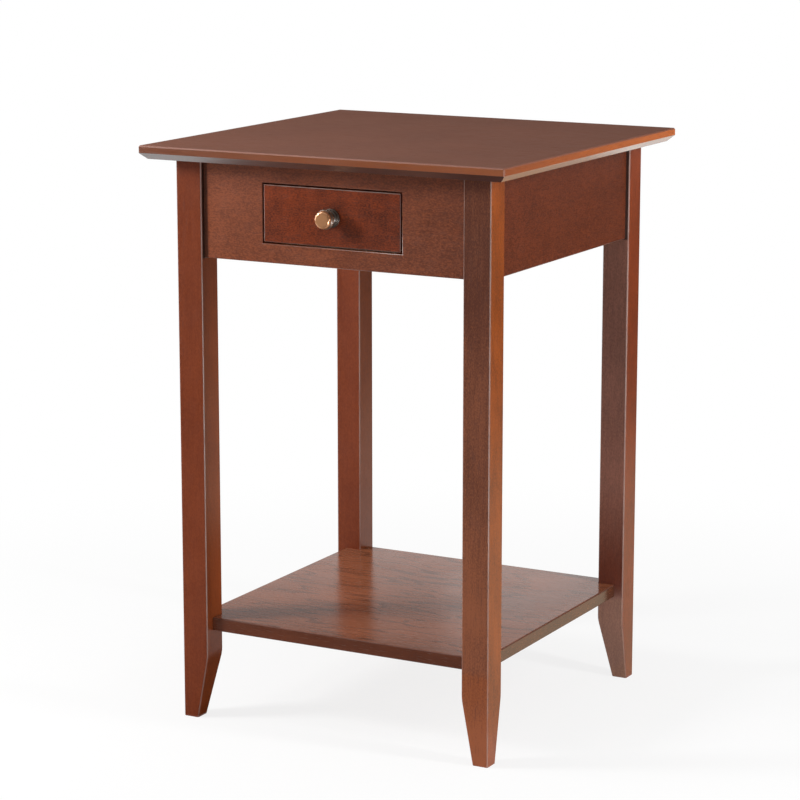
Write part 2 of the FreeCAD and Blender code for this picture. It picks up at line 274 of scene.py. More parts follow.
def legColour(sheet, colour, look, coords, facing, quarter, middle):
    inward = (-math.copysign(1, middle.x), -math.copysign(1, middle.y), 0)
    towards = {0: facing, 1: inward}
    inner = sheet.make("ShaderNodeVectorMath", {"operation": "DOT_PRODUCT"}, towards, out="Value")
    inner = inner.between(*lean["inner"])
    height = splitParts(sheet, coords)[2]
    # painted shade on the inner faces up under the top, where the aprons keep the light off them
    shadeUnderApron = inner * height.between(apronFoot - paintedShadeSizes["topEdge"], apronFoot)
    colour = mixColours(sheet, shadeUnderApron * paintedShadeSizes["underTop"], colour, rgba(look["paintedShade"]))
    # painted light on the foot below the shelf, standing in for the floor's light and reflection there
    fade = legFades["foot"]
    foot = height.between(shelfFoot + fade, shelfFoot - fade) * (1.0 - quarter)
    colour = tinted(sheet, foot, colour, look["leg"]["foot"])
    # painted shade on the inner faces just above the shelf
    shadeAboveShelf = height.between(shelfTop + legFades["shadeAboveShelf"], shelfTop + legFades["shelfEdge"])
    near = inner * shadeAboveShelf * height.between(shelfFoot, shelfTop)
    return tinted(sheet, near, colour, look["leg"]["inner"])


def shadedUndercut(sheet, colour, under, faceAlong, faceDeep, fromMiddle):  # the colour with painted shade and painted reflection, and the lacquer
    slope = faceDeep.between(*lean["under"]) * faceDeep.between(*lean["sloping"])
    overEnd = faceAlong.calc("ABSOLUTE").between(*lean["overEnd"])
    lacquerFadeAndShade = fromMiddle.between(*under["lacquerFadeAndShade"]) * (1.0 - overEnd)
    lacquer = slope * (1.0 - lacquerFadeAndShade * lacquerRubbed)
    # painted shade where the lacquer is gone, painted shade along the board and a painted pale reflection
    # over its ends
    colour = tinted(sheet, slope * lacquerFadeAndShade, colour, under["paintedShadeTone"])
    colour = tinted(sheet, slope * (1.0 - overEnd), colour, under["tone"])
    colour = tinted(sheet, slope * overEnd, colour, under["paleReflectionTone"])
    return colour, lacquer


def woodMaterial(name, look, grain, middle, cut):
    # cut: where in the tree the middle of the board was, along the grain and across it
    material, sheet = newMaterial(name)
    shift = Vector(cut) - Euler(grainTurn[grain]).to_matrix() @ middle
    coords = sheet.make("ShaderNodeTexCoord", out="Object")
    facing = coords.other("Normal")
    place = turnVector(sheet, coords, grain, shift)
    faceAlong, faceAcross, faceDeep = splitParts(sheet, turnVector(sheet, facing, grain))
    endOn = faceAlong.calc("ABSOLUTE").between(*lean["end"])
    quarter = faceDeep.calc("ABSOLUTE").between(*lean["quarter"])
    strips = look["strips"]
    if strips:  # their grain runs along each edge
        place = mixVectors(sheet, endOn, place, turnVector(sheet, coords, "y", Vector(cut)))
    fromMiddle = splitParts(sheet, place)[0] - cut[0]

    ring = yearRings(sheet, place, look)
    fibre = cloud(sheet, place, *patterns["fibre"])
    streak = cloud(sheet, place, *patterns["streak"])
    pore = cloud(sheet, place, *patterns["pore"]).between(*poreStops)
    patch = cloud(sheet, place, look["patchScale"], *patchDetail)
    fleck = cloud(sheet, place, look["fleckScale"], *fleckDetail)

    tone = (patch - 0.5) * look["mottle"] + (streak - 0.5) * look["streaks"]
    tone = tone + (fibre - 0.5) * look["fibres"] + (fleck - 0.5) * look["flecks"]
    if look["drift"]:
        tone = tone + fromMiddle * look["drift"] * (1.0 - quarter)
    figure = (ring - ringMean) * look["ringDepth"]
    if strips:  # the strips are plain, the broad faces carry the figure
        figure = figure * quarter
    tone = (tone - figure + 0.5).clamped()
    colour = mixColours(sheet, tone, rgba(look["dark"]), rgba(look["light"]))
    colour = mixColours(sheet, pore * look["poreDepth"], colour, rgba(look["dark"]))
    colour = tinted(sheet, quarter, colour, look["quarterTone"])
    if strips:
        strip = faceAcross.calc("ABSOLUTE").between(*lean["strip"])
        colour = tinted(sheet, strip, colour, strips["along"])
        colour = tinted(sheet, endOn, colour, strips["overEnds"])
    else:
        colour = mixColours(sheet, endOn * endGrainDepth, colour, rgba(look["endGrain"]))

    if look["leg"]:
        colour = legColour(sheet, colour, look, coords, facing, quarter, middle)
    # painted shadow of the leg on this board, darkest against the leg
    if look["paintedShadowFrom"]:
        start, edge = look["paintedShadowFrom"], paintedShadeSizes["sideEdge"]
        legShadow = fromMiddle.between(start + edge, start - edge)
        colour = mixColours(sheet, legShadow * paintedShadeSizes["besideLeg"], colour, rgba(look["paintedShade"]))
    lacquer = 0.0  # the stain alone gives the other faces their gloss
    if look["undercutShadeAndLacquer"]:
        colour, lacquer = shadedUndercut(sheet, colour, look["undercutShadeAndLacquer"], faceAlong, faceDeep, fromMiddle)

    # the finish rubs thin on the arrises, and their paler colour is also a painted highlight, strongest on
    # arrises that face up to the light
    arris = sheet.make("ShaderNodeAttribute", {"attribute_name": "arris"}, out="Fac")
    upward = splitParts(sheet, facing)[2].between(*rubSteps["upward"])
    patchy = cloud(sheet, coords, *patterns["rub"]).between(*rubSteps["patchy"])
    colour = mixColours(sheet, arris * patchy * upward * look["wearAndHighlight"], colour, rgba(look["wornAndHighlight"]))

    smudge = cloud(sheet, coords, *patterns["smudge"])
    roughness = (fibre - 0.5) * glossShares["fibre"] + (smudge - 0.5) * glossShares["smudge"]
    roughness = roughness + pore * glossShares["pore"] + look["roughness"]
    # rougher arrises, and on the shelf a painted shade on them
    if look["arrisDull"]:
        roughness = roughness + arris * look["arrisDull"]
        colour = tinted(sheet, arris, colour, look["arrisShadeTone"])
    height = fibre * reliefShares["fibre"] + ring * reliefShares["ring"]
    height = height - pore * reliefShares["pore"] + streak * reliefShares["streak"]
    relief = {"Height": height, "Distance": look["bump"], "Strength": bumpStrength}
    inputs = {
        "Base Color": colour,
        "Roughness": roughness.clamped(),
        "Specular IOR Level": look["specular"],
        "Coat Weight": lacquer,
        "Coat IOR": look["coatIor"],
        "Coat Roughness": look["coatRoughness"],
        "Normal": sheet.make("ShaderNodeBump", None, relief),
    }
    finishMaterial(sheet, sheet.make("ShaderNodeBsdfPrincipled", None, inputs))
    return material


plySheet = {
    "coreFrom": (0.28, 0.34),  # shares of the thickness, each a soft edge
    "coreTo": (0.66, 0.72),
    "coreDepth": 0.6,
    "sway": ((6, 22, 22), 2.0),
    "veneer": ((4, 60, 60), 3.0, 0.6),
    "fibre": ((12, 500, 500), 3.0, 0.6),
    "figureLines": 210.0,
    "figureSway": 9.0,
    "veneerDepth": 0.9,
    "fibreDepth": 0.6,
    "figureDepth": 0.12,
    "gloss": 0.15,
    "arrisRound": 0.0002,
}


def plyMaterial(name, look, bottom, thickness):
    # thin plies: the outer two lie along X, the middle one shows its ends
    material, sheet = newMaterial(name)
    coords = sheet.make("ShaderNodeTexCoord", out="Object")
    along, across, deep = splitParts(sheet, coords)
    rise = (deep - bottom) * (1.0 / thickness)
    core = rise.between(*plySheet["coreFrom"]) * (1.0 - rise.between(*plySheet["coreTo"]))
    sway, veneer, fibre = (cloud(sheet, coords, *plySheet[key]) for key in ("sway", "veneer", "fibre"))
    figure = (across * plySheet["figureLines"] + sway * plySheet["figureSway"]).calc("SINE")
    tone = (veneer - 0.5) * plySheet["veneerDepth"] + (fibre - 0.5) * plySheet["fibreDepth"]
    tone = (tone + figure * plySheet["figureDepth"] + 0.5).clamped()
    colour = mixColours(sheet, tone, rgba(look["dark"]), rgba(look["light"]))
    colour = mixColours(sheet, core * plySheet["coreDepth"], colour, rgba(look["endGrain"]))
    relief = {"Height": fibre + veneer, "Distance": look["bump"], "Strength": bumpStrength}
    inputs = {
        "Base Color": colour,
        "Roughness": (fibre - 0.5) * plySheet["gloss"] + look["roughness"],
        "Specular IOR Level": look["specular"],
        "Normal": sheet.make("ShaderNodeBump", None, relief),
    }
    finishMaterial(sheet, sheet.make("ShaderNodeBsdfPrincipled", None, inputs))
    return material


antiqueBrass = {
    "bright": (0.66, 0.32, 0.155),
    "aged": (0.56, 0.25, 0.100),
    "tarnish": (0.060, 0.038, 0.025),  # left dark where no hand rubs it; at the groove it is painted shade
    "tarnishDull": 0.3,
    "metal": 0.4,
    "patina": 0.2,
    "roughness": 0.18,
    "lacquer": 0.7,
    "lacquerRoughness": 0.08,
    "grain": 70.0,  # cloudy patches per metre
}

zincPlate = {
    "bright": (0.66, 0.65, 0.61),
    "aged": (0.50, 0.47, 0.40),
    "tarnish": None,
    "metal": 0.95,
    "patina": 0.1,
    "roughness": 0.34,
    "lacquer": 0.0,
    "lacquerRoughness": 0.08,
    "grain": 900.0,
}

metalFigure = {"finer": 9, "cloudyGloss": 0.16, "fineGloss": 0.08, "bump": 0.000004, "bumpStrength": 0.4}


def metalMaterial(name, look):
    material, sheet = newMaterial(name)
    coords = sheet.make("ShaderNodeTexCoord", out="Object")
    cloudy = cloud(sheet, coords, (look["grain"],) * 3)
    fine = cloud(sheet, coords, (look["grain"] * metalFigure["finer"],) * 3, 3.0)
    age = cloudy.between(0.2, 0.8)
    colour = mixColours(sheet, age, rgba(look["bright"]), rgba(look["aged"]))
    roughness = (cloudy - 0.5) * metalFigure["cloudyGloss"] + (fine - 0.5) * metalFigure["fineGloss"]
    roughness = roughness + look["roughness"]
    if look["tarnish"]:
        dull = sheet.make("ShaderNodeAttribute", {"attribute_name": "dull"}, out="Fac")
        colour = mixColours(sheet, dull, colour, rgba(look["tarnish"]))
        roughness = dull * look["tarnishDull"] + roughness
    relief = {"Height": fine, "Distance": metalFigure["bump"], "Strength": metalFigure["bumpStrength"]}
    inputs = {
        "Base Color": colour,
        "Metallic": look["metal"] - (age - 0.5) * look["patina"],
        "Roughness": roughness.clamped(),
        "Coat Weight": look["lacquer"],
        "Coat Roughness": look["lacquerRoughness"],
        "Normal": sheet.make("ShaderNodeBump", None, relief),
    }
    finishMaterial(sheet, sheet.make("ShaderNodeBsdfPrincipled", None, inputs))
    return material


# each board is its CAD solid with every convex edge rounded over

creaseAngle = math.radians(20)
flatAngle = math.radians(0.4)
weldReach = 2e-6
arrisWidest = 0.0021  # faces wider than this are not rounded edges
squareOn = 0.87  # nor are those that face along an axis


def plainCopy(node):  # the node's surface as one closed mesh of flat faces
    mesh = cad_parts[node].data.copy()
    mesh.materials.clear()
    shell = bmesh.new()
    shell.from_mesh(mesh)
    bmesh.ops.remove_doubles(shell, verts=shell.verts, dist=weldReach)
    bmesh.ops.dissolve_limit(shell, angle_limit=flatAngle, verts=shell.verts, edges=shell.edges)
    layers = shell.edges.layers.float
    weights = layers.get("bevel_weight_edge") or layers.new("bevel_weight_edge")
    for edge in shell.edges:
        sharp = edge.is_manifold and edge.calc_face_angle(0.0) > creaseAngle
        edge[weights] = 1.0 if sharp and edge.is_convex else 0.0
        edge.smooth = not (sharp and not edge.is_convex)
    for face in shell.faces:
        face.smooth = True
    shell.to_mesh(mesh)
    shell.free()
    return mesh


def newObject(name, data):
    piece = bpy.data.objects.new(name, data)
    bpy.context.scene.collection.objects.link(piece)
    return piece


def baked(piece):  # the piece's modifiers become its mesh
    bpy.context.view_layer.update()
    graph = bpy.context.evaluated_depsgraph_get()
    mesh = bpy.data.meshes.new_from_object(piece.evaluated_get(graph))
    piece.modifiers.clear()
    old = piece.data
    piece.data = mesh
    bpy.data.meshes.remove(old)


def markArrises(mesh):  # so that the finish can rub thin there and carry a painted highlight
    arris = mesh.attributes.new("arris", "FLOAT", "FACE")
    for face in mesh.polygons:
        corners = [mesh.vertices[index].co for index in face.vertices]
        girth = sum((a - b).length for a, b in zip(corners, corners[1:] + corners[:1]))
        width = 2 * face.area / max(girth, 1e-9)
        leaning = max(abs(value) for value in face.normal) < squareOn
        arris.data[face.index].value = 1.0 if leaning and width < arrisWidest else 0.0


def board(node, name, body, material, rounding):
    piece = newObject(name, plainCopy(node))
    bevel = piece.modifiers.new("arris", "BEVEL")
    bevel.limit_method = "WEIGHT"
    bevel.width = rounding
    bevel.segments = 2
    bevel.use_clamp_overlap = True
    weighted = piece.modifiers.new("flats", "WEIGHTED_NORMAL")
    weighted.keep_sharp = True
    baked(piece)
    markArrises(piece.data)
    piece.data.materials.append(material)
    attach(piece, body)
    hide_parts(node)


print("boards")

topLook = dict(
    cherryStain,
    light=(0.300, 0.108, 0.062),
    dark=(0.140, 0.047, 0.026),
    strips={"along": (1.02, 0.70, 0.24), "overEnds": (1.55, 0.95, 0.12)},
    undercutShadeAndLacquer={
        "tone": (0.38, 0.24, 0.14),  # painted shade, along the board
        "paleReflectionTone": (1.3, 1.45, 0.6),  # painted pale reflection, over its ends
        # painted shade where the lacquer is gone
        "paintedShadeTone": (0.60, 0.40, 0.20),
        "lacquerFadeAndShade": (0.115, 0.200),  # from the board's middle, where the lacquer thins and where it is gone, with painted shade on the colour there
    },
    coatIor=2.4,
    coatRoughness=0.25,
    ringDepth=0.05,
    mottle=0.33,
    flecks=0.25,
    streaks=0.2,
    fibres=0.3,
    poreDepth=0.25,
    drift=2.0,
    wearAndHighlight=0.0,
    roughness=0.38,
    arrisDull=0.25,
)
shelfLook = dict(
    cherryStain,
    light=(0.310, 0.098, 0.042),
    dark=(0.135, 0.043, 0.020),
    strips={"along": (0.55, 0.47, 0.47), "overEnds": (0.46, 0.38, 0.26)},
    ringsPerMetre=42.0,
    ringSway=5.0,
    ringDepth=0.65,
    pithTilt=0.09,
    mottle=1.1,
    fleckScale=(110, 300, 300),
    flecks=0.1,
    fibres=0.35,
    poreDepth=0.2,
    wearAndHighlight=0.0,
    roughness=0.20,
    specular=0.55,
    # painted shade on the shelf's arrises, where the top keeps the light from above off them
    arrisShadeTone=(0.60, 0.50, 0.45),
    arrisDull=0.6,
    bump=0.000003,
)
apronLook = dict(
    cherryStain,
    light=(0.270, 0.068, 0.024),
    dark=(0.130, 0.031, 0.012),
    arrisRound=0.0007,
    ringDepth=0.05,
    patchScale=(22, 34, 34),
    mottle=0.99,
    fleckScale=(380, 760, 760),
    flecks=3.0,
    streaks=0.15,
    drift=-1.0,
    wearAndHighlight=0.6,
)
# the front apron carries a painted shadow of the front left leg at its left end
frontApronLook = dict(apronLook, paintedShadowFrom=-0.1636)
sideApronLook = dict(
    apronLook,
    light=(0.155, 0.033, 0.011),
    dark=(0.078, 0.016, 0.005),
    flecks=4.5,
    drift=0.0,
    specular=0.2,
)
drawerLook = dict(
    apronLook,
    light=(0.255, 0.041, 0.008),
    dark=(0.080, 0.015, 0.005),
    patchScale=(46, 30, 40),
    mottle=1.54,
    drift=-1.2,
    wearAndHighlight=1.0,
    specular=0.35,
)
legLook = dict(
    cherryStain,
    light=(0.220, 0.044, 0.012),
    dark=(0.145, 0.025, 0.006),
    quarterTone=(1.2, 1.3, 1.0),
    leg={"foot": asItIs, "inner": asItIs},
    fleckScale=(380, 760, 760),
    flecks=2.0,
    wearAndHighlight=0.9,
    specular=0.3,
)
darkLegLook = dict(
    legLook,
    light=(0.300, 0.092, 0.038),
    dark=(0.112, 0.033, 0.018),
    quarterTone=(1.14, 0.80, 0.18),
    leg={"foot": (1.08, 0.92, 0.66), "inner": asItIs},
    drift=-1.6,
)
backLegLook = dict(legLook, quarterTone=(0.85, 0.95, 0.75))
# the back right leg: the grey in the base colour of its front and back faces is a painted reflection of the
# white floor; its foot tone is painted floor light and its inner tone painted shade above the shelf
greyReflectionLegLook = dict(
    legLook,
    light=(0.265, 0.106, 0.072),
    dark=(0.150, 0.061, 0.042),
    quarterTone=(0.94, 0.39, 0.09),
    leg={"foot": (1.45, 1.76, 1.76), "inner": (0.50, 0.27, 0.18)},
    drift=-0.6,
    specular=0.34,
)

# node: name, body, look, grain, and where in the tree the board was cut
stainedBoards = {
    "table_top": ("topBoard", "frame", topLook, "x", (0.3, 0.09, 0.045)),
    "shelf": ("shelfBoard", "frame", shelfLook, "x", (-0.2, 0.03, 0.030)),
    "front_apron": ("frontApron", "frame", frontApronLook, "x", (2.3, 0.12, 0.15)),
    "back_apron": ("backApron", "frame", apronLook, "x", (3.7, -0.12, 0.14)),
    "left_apron": ("leftApron", "frame", sideApronLook, "y", (4.1, 0.14, 0.12)),
    "right_apron": ("rightApron", "frame", sideApronLook, "y", (5.2, -0.11, 0.16)),
    "leg_front_left": ("legFrontLeft", "frame", legLook, "z", (6.3, 0.07, 0.03)),
    "leg_front_right": ("legFrontRight", "frame", darkLegLook, "z", (7.9, 0.05, -0.05)),
    "leg_back_left": ("legBackLeft", "frame", backLegLook, "z", (8.4, -0.06, 0.04)),
    "leg_back_right": ("legBackRight", "frame", greyReflectionLegLook, "z", (9.6, -0.04, -0.06)),
    "drawer_front": ("drawerFront", "drawer", drawerLook, "x", (10.2, 0.05, 0.04)),
}

bareBoards = {
    "drawer_left_side": ("drawerSideLeft", "drawer", "y"),
    "drawer_right_side": ("drawerSideRight", "drawer", "y"),
    "drawer_back": ("drawerBack", "drawer", "x"),
    "left_runner": ("runnerLeft", "frame", "y"),
    "right_runner": ("runnerRight", "frame", "y"),
    "left_kicker": ("kickerLeft", "frame", "y"),
    "right_kicker": ("kickerRight", "frame", "y"),
    "drawer_back_stops": ("drawerBackStops", "frame", "y"),
    "drawer_out_stops": ("drawerOutStops", "frame", "y"),
    "corner_block_front_left": ("cornerBlockFrontLeft", "frame", "slant"),
    "corner_block_front_right": ("cornerBlockFrontRight", "frame", "slant"),
    "corner_block_back_left": ("cornerBlockBackLeft", "frame", "slant"),
    "corner_block_back_right": ("cornerBlockBackRight", "frame", "slant"),
}


def middleOf(node):
    low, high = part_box(node)
    return (low + high) / 2


for node, (name, body, look, grain, cut) in stainedBoards.items():
    stain = woodMaterial(name + "Stain", look, grain, middleOf(node), cut)
    board(node, name, body, stain, look["arrisRound"])

firstCut, nextCut = Vector((11, 0.09, 0.07)), Vector((1.3, -0.013, 0))  # each from its own place in the tree
for count, (node, (name, body, grain)) in enumerate(bareBoards.items()):
    birch = woodMaterial(name + "Birch", bareBirch, grain, middleOf(node), firstCut + nextCut * count)
    board(node, name, body, birch, bareBirch["arrisRound"])

low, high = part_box("drawer_bottom")
plywood = plyMaterial("drawerBottomPly", bareBirch, low.z, high.z - low.z)
board("drawer_bottom", "drawerBottom", "drawer", plywood, plySheet["arrisRound"])

# the dowels stay as they are and only get the wood's look
dowelBirch = woodMaterial("dowelBirch", bareBirch, "x", middleOf("shelf_dowels"), (31, 0.05, 0.05))
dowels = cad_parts["shelf_dowels"].data.materials
dowels.clear()
dowels.append(dowelBirch)

print("knob")

# radii, and distances from the drawer's front
knobSizes = {
    "radius": 0.0115,
    "length": 0.0225,
    "sides": 96,
    "base": 0.0110,
    "baseArris": 0.0004,
    "baseCurl": 0.0006,
    "baseTop": 0.0016,
    "step": 0.0092,
    "stepSpread": 0.0003,
    "stepFoot": 0.0018,
    "stepCurl": 0.0008,
    "stepTop": 0.0032,
    "neck": 0.0052,
    "neckTop": 0.0090,
    "waistIn": 0.0012,  # from the step's edge to where the waist starts
    "headFoot": 0.0128,
    "bead": 0.0014,  # its own radius, as for the shoulder below
    "beadMiddle": 0.0142,
    "groove": (0.0159, 0.0170),
    "grooveDeep": 0.0026,
    "shoulder": 0.0038,
    "shoulderIn": 0.0050,
    "shoulderMiddle": 0.0185,
    "brightFrom": 0.0139,  # hands keep the head bright from here on
    "brightFade": 0.0010,
    # painted shade: the groove and the bead's front flank, which the head hides from the light, take the
    # tarnish colour
    "grooveShade": (0.0147, 0.0180),
    "grooveShadeDepth": 0.9,
}
brass = metalMaterial("knobBrass", antiqueBrass)
low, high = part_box("knob")
knobCentre = Vector(((low.x + high.x) / 2, high.y, (low.z + high.z) / 2))


def roundedCorner(radius, height, size, start, end, count=5):  # points of an arc round a corner
    turns = [math.radians(start + (end - start) * index / (count - 1)) for index in range(count)]
    return [(radius + size * math.cos(turn), height + size * math.sin(turn)) for turn in turns]


def knobProfile(sizes):  # (radius, distance from the drawer front), from the base to the middle of the face
    radius, base, step, neck = (sizes[key] for key in ("radius", "base", "step", "neck"))
    baseCurl, baseTop, baseArris = sizes["baseCurl"], sizes["baseTop"], sizes["baseArris"]
    profile = [(0.0, 0.0), (base - baseArris, 0.0), (base, baseArris)]
    profile += roundedCorner(base - baseCurl, baseTop - baseCurl, baseCurl, 0, 90)
    profile += [(step + sizes["stepSpread"], baseTop), (step, sizes["stepFoot"])]
    stepCurl, stepTop = sizes["stepCurl"], sizes["stepTop"]
    profile += roundedCorner(step - stepCurl, stepTop - stepCurl, stepCurl, 0, 90)
    neckTop, bead = sizes["neckTop"], sizes["bead"]
    waist, rise = step - sizes["waistIn"] - neck, neckTop - stepTop
    for share in (0.2, 0.4, 0.6, 0.8, 1.0):
        turn = share * math.pi / 2
        profile.append((neck + waist * (1 - math.sin(turn)), stepTop + rise * (1 - math.cos(turn))))
    flare, rise = radius - bead - neck, sizes["headFoot"] - neckTop
    for share in (0.25, 0.5, 0.75):  # the underside of the head
        turn = share * math.pi / 2
        profile.append((neck + flare * (1 - math.cos(turn)), neckTop + rise * math.sin(turn)))
    profile += roundedCorner(radius - bead, sizes["beadMiddle"], bead, -60, 70, 9)
    profile += [(radius - sizes["grooveDeep"], height) for height in sizes["groove"]]
    shoulderAt = radius - sizes["shoulderIn"]
    profile += roundedCorner(shoulderAt, sizes["shoulderMiddle"], sizes["shoulder"], -20, 78, 13)
    edge, foot = profile[-1]
    for share in (0.8, 0.6, 0.4, 0.2, 0.0):  # the low face
        profile.append((edge * share, foot + (sizes["length"] - foot) * (1 - share**2)))
    return profile


def turnedMesh(name, profile, sides):
    shell = bmesh.new()
    points = [shell.verts.new((radius, 0, height)) for radius, height in profile]
    for a, b in zip(points, points[1:]):
        shell.edges.new((a, b))
    outline = shell.verts[:] + shell.edges[:]
    bmesh.ops.spin(shell, geom=outline, angle=2 * math.pi, steps=sides, axis=(0, 0, 1), cent=(0, 0, 0))
    bmesh.ops.remove_doubles(shell, verts=shell.verts, dist=1e-6)
    bmesh.ops.recalc_face_normals(shell, faces=shell.faces)
    mesh = bpy.data.meshes.new(name)
    shell.to_mesh(mesh)
    shell.free()
    return mesh


knob = newObject("knobTurned", turnedMesh("knobTurned", knobProfile(knobSizes), knobSizes["sides"]))
knob.data.transform(Matrix.Translation(knobCentre) @ Matrix.Rotation(math.pi / 2, 4, "X"))
knob.data.materials.append(brass)
for face in knob.data.polygons:
    face.use_smooth = True
dull = knob.data.attributes.new("dull", "FLOAT", "POINT")
for corner in knob.data.vertices:
    height = knobCentre.y - corner.co.y
    hidden = (knobSizes["brightFrom"] - height) / knobSizes["brightFade"]
    # painted shade in and beside the groove
    if knobSizes["grooveShade"][0] < height < knobSizes["grooveShade"][1]:
        hidden = knobSizes["grooveShadeDepth"]
    dull.data[corner.index].value = min(max(hidden, 0.0), 1.0)
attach(knob, "drawer")
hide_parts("knob")

# screws: one tree makes a countersunk cross-head screw on every point

print("screws")

zinc = metalMaterial("screwZinc", zincPlate)

screwShares = {
    "core": 0.74,  # of the shank's radius, to the foot of the thread
    "point": 2.0,
    "tip": 0.15,  # of the core
    "bitLong": 1.15,  # of the head's radius
    "bitWide": 0.24,
    "bitDeep": 0.9,
    "threadFrom": 0.18,  # of the straight part
    "threadLong": 0.8,
    "sides": 24,
    "threadSteps": 14,  # for each turn
    "weld": 0.00001,  # metres
}


def groupInput(tree, name, kind):
    return tree.interface.new_socket(name, in_out="INPUT", socket_type=kind).identifier


def moved(kit, shape, rise, turn=(0, 0, 0)):
    lift = kit.make("ShaderNodeCombineXYZ", None, {2: rise})
    return kit.make("GeometryNodeTransform", None, {"Geometry": shape, "Translation": lift, "Rotation": turn})


def joined(kit, *shapes):
    node = kit.make("GeometryNodeJoinGeometry")
    for shape in shapes:
        kit.tree.links.new(shape.socket, node.socket.node.inputs[0])
    return node


def cone(kit, foot, top, depth):
    inputs = {"Vertices": screwShares["sides"], "Radius Top": top, "Radius Bottom": foot, "Depth": depth}
    return kit.make("GeometryNodeMeshCone", {"fill_type": "NGON"}, inputs)


def withCross(kit, body, headRadius):  # a cross-shaped bit sinks into the head
    reach = [headRadius * screwShares[key] for key in ("bitLong", "bitWide", "bitDeep")]
    size = kit.make("ShaderNodeCombineXYZ", None, dict(enumerate(reach)))
    arm = kit.make("GeometryNodeMeshCube", None, {"Size": size})
    bit = joined(kit, arm, moved(kit, arm, 0.0, (0, 0, math.pi / 2)))
    cut = kit.make("GeometryNodeMeshBoolean", {"operation": "DIFFERENCE", "solver": "EXACT"})
    sockets = cut.socket.node.inputs
    kit.tree.links.new(body.socket, sockets["Mesh 1"])
    kit.tree.links.new(bit.socket, sockets["Mesh 2"])
    sockets["Self Intersection"].default_value = True
    return cut


def screwThread(kit, turns, core, ridge, straight):  # a small ridge that winds down the shank
    path = {
        "Resolution": screwShares["threadSteps"],
        "Rotations": turns,
        "Start Radius": core,
        "End Radius": core,
        "Height": straight * screwShares["threadLong"],
    }
    spiral = kit.make("GeometryNodeCurveSpiral", None, path)
    ring = {"Resolution": 4, "Radius": ridge}
    profile = kit.make("GeometryNodeCurvePrimitiveCircle", {"mode": "RADIUS"}, ring)
    sweep = {"Curve": spiral, "Profile Curve": profile, "Fill Caps": True}
    return kit.make("GeometryNodeCurveToMesh", None, sweep)


def screwTree():
    tree = bpy.data.node_groups.new("crossHeadScrew", "GeometryNodeTree")
    sockets = {"Points": groupInput(tree, "Points", "NodeSocketGeometry")}
    for name in ("Head Radius", "Shank Radius", "Length", "Thread Turns"):
        sockets[name] = groupInput(tree, name, "NodeSocketFloat")
    sockets["Finish"] = groupInput(tree, "Finish", "NodeSocketMaterial")
    tree.interface.new_socket("Screws", in_out="OUTPUT", socket_type="NodeSocketGeometry")
    kit = Sock(tree)
    given = kit.make("NodeGroupInput")
    headRadius, shankRadius = given.other("Head Radius"), given.other("Shank Radius")
    core = shankRadius * screwShares["core"]
    neck = headRadius - core
    point = shankRadius * screwShares["point"]
    straight = given.other("Length") - neck - point

    head = cone(kit, headRadius, core, neck)
    shank = cone(kit, core, core, straight)
    tip = cone(kit, core, core * screwShares["tip"], point)
    body = joined(kit, head, moved(kit, shank, neck), moved(kit, tip, neck + straight))
    body = kit.make("GeometryNodeMergeByDistance", None, {"Geometry": body, "Distance": screwShares["weld"]})
    thread = screwThread(kit, given.other("Thread Turns"), core, shankRadius - core, straight)
    thread = moved(kit, thread, neck + straight * screwShares["threadFrom"])
    screw = joined(kit, withCross(kit, body, headRadius), thread)

    aim = kit.make("GeometryNodeInputNamedAttribute", {"data_type": "FLOAT_VECTOR"}, {"Name": "aim"})
    turn = kit.make("FunctionNodeAlignRotationToVector", {"axis": "Z"}, {"Vector": aim})
    inputs = {"Points": given.other("Points"), "Instance": screw, "Rotation": turn}
    copies = kit.make("GeometryNodeInstanceOnPoints", None, inputs)
    solid = kit.make("GeometryNodeRealizeInstances", None, {"Geometry": copies})
    inputs = {"Geometry": solid, "Material": given.other("Finish")}
    kit.make("NodeGroupOutput", None, {"Screws": kit.make("GeometryNodeSetMaterial", None, inputs)})
    return tree, sockets


screwGroup, screwSockets = screwTree()


def screws(node, name, body, sizes, places):  # places: (head centre, direction into the wood)
    mesh = bpy.data.meshes.new(name)
    mesh.from_pydata([place for place, aim in places], [], [])
    attribute = mesh.attributes.new("aim", "FLOAT_VECTOR", "POINT")
    for index, (place, aim) in enumerate(places):
        attribute.data[index].vector = aim
    piece = newObject(name, mesh)
    maker = piece.modifiers.new("screws", "NODES")
    maker.node_group = screwGroup
    for key, value in sizes.items():
        maker[screwSockets[key]] = value
    maker[screwSockets["Finish"]] = zinc
    baked(piece)
    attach(piece, body)
    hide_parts(node)


blockScrew = {"Head Radius": 0.0039, "Shank Radius": 0.0019, "Length": 0.026, "Thread Turns": 9.0}
topScrew = dict(blockScrew, **{"Length": 0.0495, "Thread Turns": 18.0})
kickerScrew = dict(blockScrew, **{"Length": 0.041, "Thread Turns": 15.0})
bottomScrew = {"Head Radius": 0.0025, "Shank Radius": 0.0012, "Length": 0.016, "Thread Turns": 9.0}
screwPlaces = {
    "along": 0.032,  # in a corner block, from the angle of the two aprons
    "web": 0.014,
    "up": 0.017,
    "kickerEnd": 0.004,  # from the ends of the row to the first head's middle
    "bottomEnd": 0.0026,
    "stopFace": 0.014,  # an out stop's thickness, inwards from its kicker
}
signs = (-1, 1)

low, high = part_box("corner_block_front_right")
angle = high.x  # where the inner faces of two aprons meet
blockMiddle = (low.z + high.z) / 2
far, near, middle = (angle - screwPlaces[key] for key in ("along", "web", "up"))
sideways, upward = [], []
for x in signs:
    for y in signs:
        sideways.append(((x * far, y * near, blockMiddle), (0, y, 0)))
        sideways.append(((x * near, y * far, blockMiddle), (x, 0, 0)))
        upward.append(((x * middle, y * middle, low.z), (0, 0, 1)))
screws("corner_block_screws", "blockScrews", "frame", blockScrew, sideways)
screws("top_screws", "topScrews", "frame", topScrew, upward)

